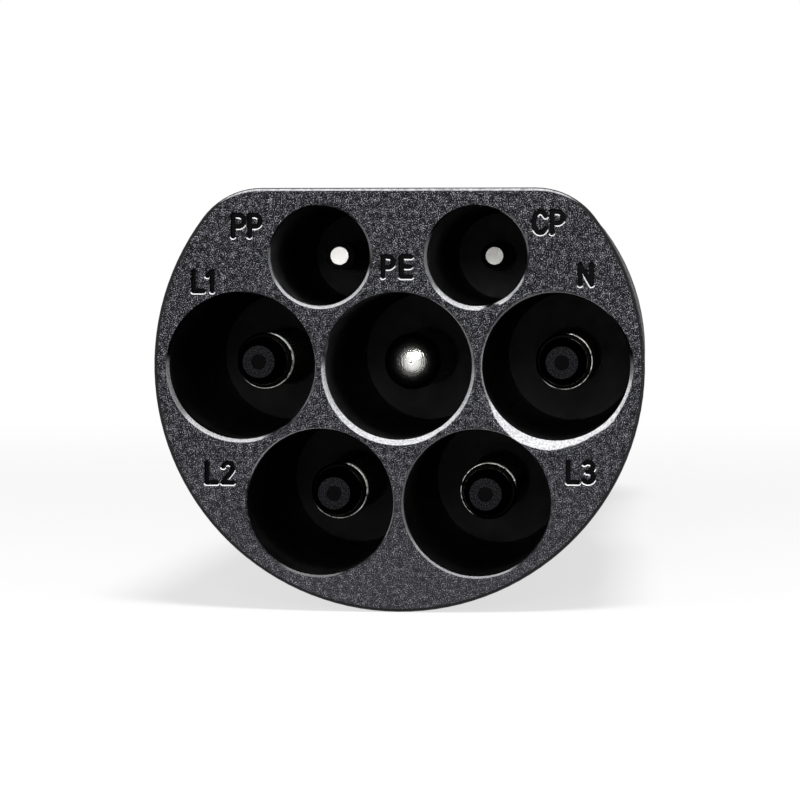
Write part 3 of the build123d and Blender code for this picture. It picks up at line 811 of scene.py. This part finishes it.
@dataclass
class Engraver:
    """Cuts round-ended grooves.

    The profile gives depths behind the face, each with half of the groove's width there.
    """

    profile_mm: tuple[Point, ...] = (
        (-0.1, 0.37), (0.0, 0.36), (0.12, 0.245), (0.6, 0.2),
    )
    cap_steps: int = 8
    least_cosine: float = 0.5

    def outline(self, points: list[Point], half: float) -> list[Point]:
        """Outline of one stroke.

        Args:
            points: the stroke's line.
            half: half of the stroke's width.

        Returns:
            The closed outline, counted round once.
        """
        turns = []
        for i in range(len(points) - 1):
            dx, dz = points[i + 1][0] - points[i][0], points[i + 1][1] - points[i][1]
            turns.append(math.atan2(dz, dx))
        left, right = [], []
        for i, (x, z) in enumerate(points):
            before, after = turns[max(i - 1, 0)], turns[min(i, len(turns) - 1)]
            bend = (after - before + math.pi) % (2 * math.pi) - math.pi
            middle = before + bend / 2
            # a sharp corner reaches out no more than twice the half width
            reach = half / max(math.cos(bend / 2), self.least_cosine)
            nx, nz = -math.sin(middle) * reach, math.cos(middle) * reach
            left.append((x + nx, z + nz))
            right.append((x - nx, z - nz))
        end = arc(points[-1], (half, half), *self._cap(turns[-1]), self.cap_steps)
        start = arc(points[0], (half, half), *self._cap(turns[0] + math.pi), self.cap_steps)
        return right[1:-1] + end + left[1:-1][::-1] + start

    def _cap(self, turn: float) -> Point:
        """Start and end angle of a round end that faces this way, in degrees."""
        return math.degrees(turn) - 90, math.degrees(turn) + 90

    def cutter(self, strokes: list[list[Point]], depth_share: float) -> bpy.types.Object:
        """Builds the tool for many strokes that don't touch.

        Args:
            strokes: lines in millimetres across the mating face.
            depth_share: how much of the full depth it cuts.

        Returns:
            A mesh object of one closed shell for each stroke.
        """
        shells = bmesh.new()
        for line in strokes:
            rings = []
            for depth, half in self.profile_mm:
                ring = [
                    shells.verts.new((x * MM, depth * depth_share * MM, z * MM))
                    for x, z in self.outline(line, half)
                ]
                rings.append(ring)
            count = len(rings[0])
            for top, floor in zip(rings, rings[1:]):
                for i in range(count):
                    after = (i + 1) % count
                    shells.faces.new((top[i], top[after], floor[after], floor[i]))
            shells.faces.new(rings[0][::-1])
            shells.faces.new(rings[-1])
        bmesh.ops.recalc_face_normals(shells, faces=shells.faces)
        mesh = bpy.data.meshes.new("engraving_tool")
        shells.to_mesh(mesh)
        shells.free()
        tool = bpy.data.objects.new("engraving_tool", mesh)
        bpy.context.scene.collection.objects.link(tool)
        return tool


class Cut(Enum):
    """How much painted light a trimmed stretch takes: full, most, dim, or painted shade."""

    FULLY_LIT = 1.0
    MOSTLY_LIT = 0.75
    DIMLY_LIT = 0.4
    SHADED = 0.0


@dataclass(frozen=True)
class Mouth:
    """Mouth of one bore and the stretches of it that the blade trimmed.

    Each stretch has its start and end in degrees clockwise from the top, its width in
    millimetres and its look, the level of painted light it takes, down to painted shade.
    """

    contact: Contact
    bore_mm: float
    stretches: tuple[tuple[float, float, float, Cut], ...]
    least_lean: float = 0.05

    def away(self, x: float, z: float) -> float:
        """Distance outward from the bore's edge, in millimetres."""
        return math.dist((x, z), self.contact.value) - self.bore_mm

    def trim_at(self, x: float, z: float) -> Point:
        """Reads the trimmed stretches at one place.

        Args:
            x: place across the face, in millimetres.
            z: height on the face, in millimetres.

        Returns:
            Width of the cut there, and how much painted light it takes.
        """
        middle_x, middle_z = self.contact.value
        clock = math.degrees(math.atan2(x - middle_x, z - middle_z))
        # the width runs over from one stretch to the next in 12 degrees, and the look in 4
        near = [self._stretch(clock + turn) for turn in (-6, -4, -2, 0, 2, 4, 6)]
        close = near[2:5]
        width = sum(part[0] for part in near) / len(near)
        return width, sum(part[1] for part in close) / len(close)

    def faced_by(self, centre: Vector, normal: Vector) -> float:
        """How squarely a facet leans towards this bore.

        Args:
            centre: the facet's middle, in metres.
            normal: its outward direction.

        Returns:
            1 for a facet of this mouth, and 0 or less for one that leans elsewhere.
        """
        middle_x, middle_z = self.contact.value
        toward = Vector((middle_x - centre.x / MM, middle_z - centre.z / MM))
        lean = Vector((normal.x, normal.z))
        if lean.length <= self.least_lean:
            return 0.0
        return toward.normalized().dot(lean.normalized())

    def _stretch(self, clock: float) -> Point:
        """Width and paleness of the stretch at this clock angle, or none."""
        for start, end, width, look in self.stretches:
            if start <= clock % 360 < end:
                return width, look.value
        return 0.0, 0.0


class Zone(IntEnum):
    """Parts of the nose's surface, in the order of its materials."""

    FACE = 0
    BORE = 1
    MOUTH = 2
    LABEL_LIP = 3
    LABEL_FLOOR = 4
    EDGE = 5


@dataclass
class Nose:
    """Moulded front of the plug, with its bores, trimmed mouths and engraved labels."""

    bevel_depth_mm: float = 0.8
    bevel_reach_mm: float = 1.2
    lip_mm: float = 0.12
    edge_mm: float = 0.4
    weld_mm: float = 0.001
    behind_face_mm: float = 0.001
    bore_slack_mm: float = 0.02
    bevel_slack_mm: float = 0.01
    mouth_slack_mm: float = 0.1
    mouth_lean: float = 0.8
    lip_lean: float = 0.3
    flat_lean: float = 0.995
    label_reach_mm: Point = (2.3, 1.7)
    layer_step: float = 0.03
    crease_degrees: float = 28.0
    # each stretch paints light on a mouth's edge: highlight where it faces up, shade where it faces
    # down
    mouths: tuple[Mouth, ...] = (
        Mouth(Contact.PP, PILOT_BORE_MM, (
            (50, 90, 0.32, Cut.DIMLY_LIT), (104, 240, 0.35, Cut.FULLY_LIT), (240, 278, 0.28, Cut.DIMLY_LIT),
            (284, 352, 0.4, Cut.SHADED),
        )),
        Mouth(Contact.CP, PILOT_BORE_MM, (
            (30, 88, 0.28, Cut.DIMLY_LIT), (112, 142, 0.24, Cut.FULLY_LIT), (142, 158, 0.42, Cut.FULLY_LIT),
            (172, 232, 0.46, Cut.FULLY_LIT), (232, 292, 0.28, Cut.DIMLY_LIT), (298, 355, 0.36, Cut.SHADED),
        )),
        Mouth(Contact.L1, POWER_BORE_MM, (
            (35, 128, 0.2, Cut.DIMLY_LIT), (160, 228, 0.34, Cut.FULLY_LIT), (228, 273, 0.4, Cut.DIMLY_LIT),
            (275, 352, 0.4, Cut.SHADED),
        )),
        Mouth(Contact.PE, POWER_BORE_MM, (
            (28, 92, 0.3, Cut.DIMLY_LIT), (92, 156, 0.38, Cut.FULLY_LIT), (156, 216, 0.57, Cut.FULLY_LIT),
            (216, 272, 0.47, Cut.FULLY_LIT), (281, 286, 0.2, Cut.DIMLY_LIT), (296, 345, 0.42, Cut.SHADED),
        )),
        Mouth(Contact.N, POWER_BORE_MM, (
            (0, 45, 0.15, Cut.DIMLY_LIT), (52, 86, 0.32, Cut.SHADED), (86, 100, 0.38, Cut.DIMLY_LIT),
            (100, 130, 0.32, Cut.FULLY_LIT), (130, 140, 0.55, Cut.FULLY_LIT), (140, 160, 0.4, Cut.FULLY_LIT),
            (160, 178, 0.65, Cut.FULLY_LIT), (178, 216, 0.98, Cut.FULLY_LIT), (216, 232, 0.66, Cut.FULLY_LIT),
            (232, 241, 0.28, Cut.FULLY_LIT), (241, 360, 0.14, Cut.DIMLY_LIT),
        )),
        Mouth(Contact.L2, POWER_BORE_MM, (
            (0, 118, 0.17, Cut.MOSTLY_LIT), (163, 212, 0.15, Cut.DIMLY_LIT), (290, 360, 0.17, Cut.MOSTLY_LIT),
        )),
        Mouth(Contact.L3, POWER_BORE_MM, (
            (0, 50, 0.16, Cut.MOSTLY_LIT), (148, 240, 0.16, Cut.MOSTLY_LIT), (240, 360, 0.15, Cut.DIMLY_LIT),
        )),
    )
    labels: tuple[ContactLabel, ...] = (
        ContactLabel((Glyph.P, Glyph.P), (-15.42, 14.24), 2.15),
        ContactLabel((Glyph.C, Glyph.P), (15.22, 14.56), 2.12, 1.84),
        ContactLabel((Glyph.P, Glyph.E), (-0.07, 10.09), 2.02, 1.85),
        ContactLabel((Glyph.L, Glyph.ONE), (-19.68, 8.6), 2.0, 1.4),
        ContactLabel((Glyph.N,), (18.94, 9.3)),
        ContactLabel((Glyph.L, Glyph.TWO), (-18.22, -10.89)),
        ContactLabel((Glyph.L, Glyph.THREE), (18.56, -10.62), 2.04, 1.54),
    )
    face: GrainedPolyamide = GrainedPolyamide("nose_polyamide_grained")
    bore: PolishedPolyamide = PolishedPolyamide("nose_polyamide_polished")
    trim: TrimmedPolyamide = TrimmedPolyamide(
        "nose_polyamide_trimmed_painted_light", GrainedPolyamide("nose_polyamide_grained")
    )
    edge: BurnishedPolyamide = BurnishedPolyamide("nose_polyamide_burnished_painted_highlight")
    # the floors of the labels are painted near-black, as painted shade in the grooves
    floor: PolishedPolyamide = PolishedPolyamide(
        "nose_polyamide_label_floor_painted_shade", "#020202", "#070708", specular=0.04
    )
    # the lips that face up are smooth, and painted near-white as a painted highlight, a thin white line
    lip: PlainMoulding = PlainMoulding(
        "nose_polyamide_label_lip_painted_highlight", "#f2f2f4", "#b8b8bc", roughness=0.3, ior=POLYAMIDE_IOR
    )
    engraver: Engraver = field(default_factory=Engraver)

    def build(self) -> bpy.types.Object:
        """Builds the engraved nose in place of the plain one.

        Returns:
            The new piece.
        """
        shape = bmesh.new()
        shape.from_mesh(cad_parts["nose"].data)
        bmesh.ops.remove_doubles(shape, verts=shape.verts, dist=self.weld_mm * MM)
        mesh = bpy.data.meshes.new("moulded_nose")
        shape.to_mesh(mesh)
        shape.free()
        for name in ("custom_normal", "sharp_edge", "sharp_face"):
            if name in mesh.attributes:
                mesh.attributes.remove(mesh.attributes[name])
        mesh.materials.clear()
        nose = bpy.data.objects.new("moulded_nose", mesh)
        bpy.context.scene.collection.objects.link(nose)
        self.engrave(nose)
        self.dress(nose)
        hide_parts("nose")
        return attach(nose, "root")

    def engrave(self, nose: bpy.types.Object) -> None:
        """Cuts the labels into the mating face.

        Args:
            nose: the piece to cut.
        """
        strokes = [stroke for label in self.labels for stroke in label.strokes()]
        tools = []
        for turn in sorted({turn for turn, _ in strokes}):
            lines = [line for when, line in strokes if when == turn]
            tools.append(self.engraver.cutter(lines, 1.0 - self.layer_step * turn))
            cut = nose.modifiers.new("labels", "BOOLEAN")
            cut.operation = "DIFFERENCE"
            cut.solver = "EXACT"
            cut.object = tools[-1]
        graph = bpy.context.evaluated_depsgraph_get()
        carved = bpy.data.meshes.new_from_object(nose.evaluated_get(graph))
        nose.modifiers.clear()
        nose.data = carved
        for tool in tools:
            bpy.data.objects.remove(tool)

    def zone(self, centre: Vector, normal: Vector) -> Zone:
        """Which part of the surface a facet is on.

        Args:
            centre: the facet's middle, in metres.
            normal: its outward direction.

        Returns:
            The zone. Only the lips of a label that face up count as its lips, and take the painted
            highlight.
        """
        x, depth, z = centre.x / MM, centre.y / MM, centre.z / MM
        away = min(mouth.away(x, z) for mouth in self.mouths)
        if away < self.bore_slack_mm and depth > self.bevel_depth_mm - self.bevel_slack_mm:
            return Zone.BORE
        shallow = self.behind_face_mm < depth < self.bevel_depth_mm
        if not shallow or abs(normal.y) > self.flat_lean:
            return Zone.LABEL_FLOOR if shallow and self.on_label(x, z) else Zone.FACE
        if self.mouth_of(centre, normal):
            return Zone.MOUTH
        if self.on_label(x, z):
            if depth > self.lip_mm:
                return Zone.LABEL_FLOOR
            return Zone.LABEL_LIP if normal.z > self.lip_lean else Zone.FACE
        return Zone.EDGE if depth < self.edge_mm else Zone.FACE

    def on_label(self, x: float, z: float) -> bool:
        """Whether this place on the face, in millimetres, is on one of the labels."""
        wide, high = self.label_reach_mm
        return any(
            abs(x - label.centre_mm[0]) < wide and abs(z - label.centre_mm[1]) < high
            for label in self.labels
        )

    def mouth_of(self, centre: Vector, normal: Vector) -> Mouth | None:
        """Finds the mouth that a facet belongs to.

        Args:
            centre: the facet's middle, in metres.
            normal: its outward direction.

        Returns:
            The mouth whose bore is close and which the facet leans towards, if there is one.
        """
        x, z = centre.x / MM, centre.z / MM
        slack, reach = -self.mouth_slack_mm, self.bevel_reach_mm
        near = [mouth for mouth in self.mouths if slack < mouth.away(x, z) < reach]
        best = max(near, key=lambda mouth: mouth.faced_by(centre, normal), default=None)
        return best if best and best.faced_by(centre, normal) > self.mouth_lean else None

    def mark_trim(self, mesh: bpy.types.Mesh) -> None:
        """Writes the blade's cut and its painted light into the attribute that the trimmed finish
        reads.

        Args:
            mesh: the nose's mesh, whose facets have their finishes.
        """
        trim = mesh.attributes.new("trim", "FLOAT_VECTOR", "CORNER")
        for facet in mesh.polygons:
            if facet.material_index != Zone.MOUTH:
                continue
            mouth = self.mouth_of(facet.center, facet.normal)
            for corner in facet.loop_indices:
                place = mesh.vertices[mesh.loops[corner].vertex_index].co
                x, z = place.x / MM, place.z / MM
                trim.data[corner].vector = (mouth.away(x, z), *mouth.trim_at(x, z))

    def dress(self, nose: bpy.types.Object) -> None:
        """Gives each facet its finish and smooths the round walls.

        Args:
            nose: the piece to dress.
        """
        mesh = nose.data
        mesh.materials.clear()
        for finish in (self.face, self.bore, self.trim, self.lip, self.floor, self.edge):
            mesh.materials.append(finish.build())
        for facet in mesh.polygons:
            facet.use_smooth = True
            facet.material_index = int(self.zone(facet.center, facet.normal))
        self.mark_trim(mesh)
        mesh.set_sharp_from_angle(angle=math.radians(self.crease_degrees))
        weighted = nose.modifiers.new("flat_faces_lead", "WEIGHTED_NORMAL")
        weighted.keep_sharp = True
        weighted.weight = 100


@dataclass
class Contacts:
    """Seven silvered pins and the caps on the four live ones."""

    capped: tuple[Contact, ...] = (Contact.L1, Contact.L2, Contact.L3, Contact.N)
    # on the capped pins only a thin band at the rim stays bright; the rest of the end is painted shade
    live_look: dict = field(
        default_factory=lambda: {"bright_to_mm": 17.9, "worn_share": 0.56, "band_mm": (2.94, 3.1)}
    )
    bare_look: dict = field(default_factory=lambda: {"worn_share": 0.72})
    # each capped pin's bright band is kept to the side given here; the other side is painted shade
    pin_looks: dict[Contact, dict] = field(
        default_factory=lambda: {
            Contact.L1: {"lit_toward": (0.87, -0.5)},
            Contact.L2: {"lit_toward": (0.8, -0.6)},
            Contact.L3: {"lit_toward": (-0.6, 0.8)},
            Contact.N: {"lit_toward": (0.87, -0.5)},
            Contact.PE: {
                "bright_to_mm": 15.4, "scratches": 1.6, "roughness": 0.07, "mark_depth_mm": 0.012,
            },
            Contact.PP: {"bright_to_mm": 18.6},
            Contact.CP: {"bright_to_mm": 27.0, "colour": "#b6b5b2"},
        }
    )
    cap: GlossyPolyester = GlossyPolyester("cap_polyester_glossy")

    def dress(self) -> None:
        """Gives the pins and their caps their finishes."""
        for contact in Contact:
            name = contact.name.lower()
            look = dict(self.live_look if contact in self.capped else self.bare_look)
            look.update(self.pin_looks[contact])
            finish = SilverPlate("pin_silver_" + name, contact.value, **look)
            give_finish("pin_" + name, finish.build())
        cap = self.cap.build()
        for contact in self.capped:
            give_finish("touch_guard_" + contact.name.lower(), cap)


@dataclass
class Housing:
    """Grip shells, seals, retainer, screws and cord gland."""

    grip: GrainedPolyamide = GrainedPolyamide(
        "grip_polyamide_grained",
        valley="#101012",
        glint_peak="#86868e",
        roughness=0.55,
        grain_mm=0.3,
        depth_mm=0.05,
        edge_mm=0.25,
    )
    rubber: PlainMoulding = PlainMoulding(
        "seal_rubber_nitrile", "#1a1a1b", "#252526", roughness=0.72, ior=1.52
    )
    inner: PlainMoulding = PlainMoulding(
        "inner_polyester_glass_filled", "#bdb6a6", "#a79f8d", roughness=0.55, ior=POLYESTER_IOR
    )
    screw: ZincPlate = ZincPlate("screw_steel_zinc_plated")
    resistor: PlainMoulding = PlainMoulding(
        "resistor_epoxy_lacquer", "#b59a6a", "#a98c5b", roughness=0.3, ior=1.5
    )
    grip_nodes: tuple[str, ...] = ("grip_upper", "grip_lower", "gland_body", "gland_nut")
    rubber_nodes: tuple[str, ...] = ("flange_gasket", "contact_seal", "gland_seal")
    inner_nodes: tuple[str, ...] = ("contact_retainer", "clamp_bar", "gland_cage")
    screw_nodes: tuple[str, ...] = ("retainer_screws", "grip_screws", "clamp_screws")

    def dress(self) -> None:
        """Gives every piece behind the nose its finish."""
        groups = (
            (self.grip_nodes, self.grip),
            (self.rubber_nodes, self.rubber),
            (self.inner_nodes, self.inner),
            (self.screw_nodes, self.screw),
            (("coding_resistor",), self.resistor),
        )
        for nodes, finish in groups:
            material = finish.build()
            for node in nodes:
                give_finish(node, material)


def give_finish(node: str, material: bpy.types.Material) -> None:
    """Puts one material on a CAD node.

    Args:
        node: the node's name.
        material: its finish.
    """
    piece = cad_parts[node]
    piece.data.materials.clear()
    piece.data.materials.append(material)
    log.info("dressed %s with %s", node, material.name)


@dataclass(frozen=True)
class Softbox:
    """One soft studio lamp."""

    name: str
    place_mm: Place
    size_mm: float
    watts: float


@dataclass
class Studio:
    """Pale floor, white surroundings, soft lamps and the camera."""

    floor_height_mm: float = -25.0
    floor_half_mm: float = 6000.0
    floor_colour: str = "#f4f4f4"
    clear_from_mm: float = 120.0
    clear_at_mm: float = 420.0
    least_clear: float = 0.7
    surround_light: float = 0.25
    camera_place_mm: Place = (33.0, -339.8, 11.2)
    camera_aim_mm: Place = (0.242, 0.0, -3.407)
    lens_mm: float = 151.8
    sensor_mm: float = 36.0
    clip_m: Point = (0.01, 50.0)
    lamps: tuple[Softbox, ...] = (
        Softbox("key", (90.0, -300.0, 620.0), 200.0, 4.8),
        Softbox("front", (30.0, -430.0, 120.0), 90.0, 0.45),
        Softbox("fill", (-500.0, -400.0, 150.0), 400.0, 0.5),
    )

    def build(self) -> None:
        """Builds the whole studio."""
        self.add_world()
        self.add_floor()
        for lamp in self.lamps:
            self.add_lamp(lamp)
        self.add_camera()

    def seen_directly(self, tree: Tree) -> Socket:
        """Adds the test for rays that show the surroundings as they look.

        Args:
            tree: the node tree that takes the test.

        Returns:
            A socket that is 1 for camera, glossy and transmission rays.
        """
        path = add_node(tree, "LightPath")
        first = add_node(
            tree, "Math", {"operation": "MAXIMUM"},
            {0: path.outputs["Is Camera Ray"], 1: path.outputs["Is Glossy Ray"]},
        )
        both = add_node(
            tree, "Math", {"operation": "MAXIMUM"},
            {0: first, 1: path.outputs["Is Transmission Ray"]},
        )
        return both.outputs[0]

    def add_world(self) -> None:
        """Makes surroundings that look white and light the object softly."""
        world = bpy.data.worlds.new("studio_surroundings")
        world.use_nodes = True
        tree = world.node_tree
        tree.nodes.clear()
        strength = add_node(
            tree, "MapRange", {"To Min": self.surround_light, "To Max": 1.0},
            {"Value": self.seen_directly(tree)},
        )
        light = add_node(tree, "Background", {"Color": WHITE}, {"Strength": strength})
        add_node(tree, "OutputWorld", {}, {"Surface": light})
        bpy.context.scene.world = world

    def add_floor(self) -> None:
        """Makes a pale matt floor that looks white but keeps the object's shadow."""
        half, height = self.floor_half_mm * MM, self.floor_height_mm * MM
        mesh = bpy.data.meshes.new("studio_floor")
        sides = ((-half, -half), (half, -half), (half, half), (-half, half))
        corners = [(x, y, height) for x, y in sides]
        mesh.from_pydata(corners, [], [(0, 1, 2, 3)])
        floor = bpy.data.objects.new("studio_floor", mesh)
        bpy.context.scene.collection.objects.link(floor)
        material, tree, place = blank_material("floor_paper_matt")
        paper = add_node(tree, "BsdfDiffuse", {"Color": linear(self.floor_colour)})
        glow = add_node(tree, "Emission", {"Color": WHITE, "Strength": 1.0})
        away = add_node(tree, "VectorMath", {"operation": "LENGTH"}, {0: place})
        share = add_node(
            tree,
            "MapRange",
            {
                "interpolation_type": "SMOOTHSTEP",
                "From Min": self.clear_from_mm * MM,
                "From Max": self.clear_at_mm * MM,
                "To Min": self.least_clear,
                "To Max": 1.0,
            },
            {"Value": away.outputs[1]},
        )
        lifted = add_node(tree, "MixShader", {}, {0: share, 1: paper, 2: glow})
        shown = add_node(tree, "MixShader", {}, {0: self.seen_directly(tree), 1: paper, 2: lifted})
        add_node(tree, "OutputMaterial", {}, {"Surface": shown})
        mesh.materials.append(material)

    def add_lamp(self, lamp: Softbox) -> None:
        """Hangs one softbox, turned towards the plug.

        Args:
            lamp: its place, size and power.
        """
        data = bpy.data.lights.new("softbox_" + lamp.name, "AREA")
        data.energy = lamp.watts
        data.size = lamp.size_mm * MM
        holder = bpy.data.objects.new("softbox_" + lamp.name, data)
        holder.location = Vector(lamp.place_mm) * MM
        holder.rotation_mode = "QUATERNION"
        holder.rotation_quaternion = (-holder.location).to_track_quat("-Z", "Y")
        bpy.context.scene.collection.objects.link(holder)

    def add_camera(self) -> None:
        """Sets up the camera where the photograph was taken from."""
        data = bpy.data.cameras.new("camera")
        data.lens = self.lens_mm
        data.sensor_width = self.sensor_mm
        data.clip_start, data.clip_end = self.clip_m
        camera = bpy.data.objects.new("camera", data)
        camera.location = Vector(self.camera_place_mm) * MM
        aim = Vector(self.camera_aim_mm) * MM
        camera.rotation_mode = "QUATERNION"
        camera.rotation_quaternion = (aim - camera.location).to_track_quat("-Z", "Y")
        bpy.context.scene.collection.objects.link(camera)
        bpy.context.scene.camera = camera


def main() -> None:
    """Builds the studio and dresses the plug."""
    logging.basicConfig(level=logging.INFO, format="%(message)s")
    bpy.context.scene.view_settings.view_transform = "Standard"
    Studio().build()
    nose = Nose().build()
    log.info("built %s: %d facets", nose.name, len(nose.data.polygons))
    Contacts().dress()
    Housing().dress()


if __name__ == "__main__":
    main()
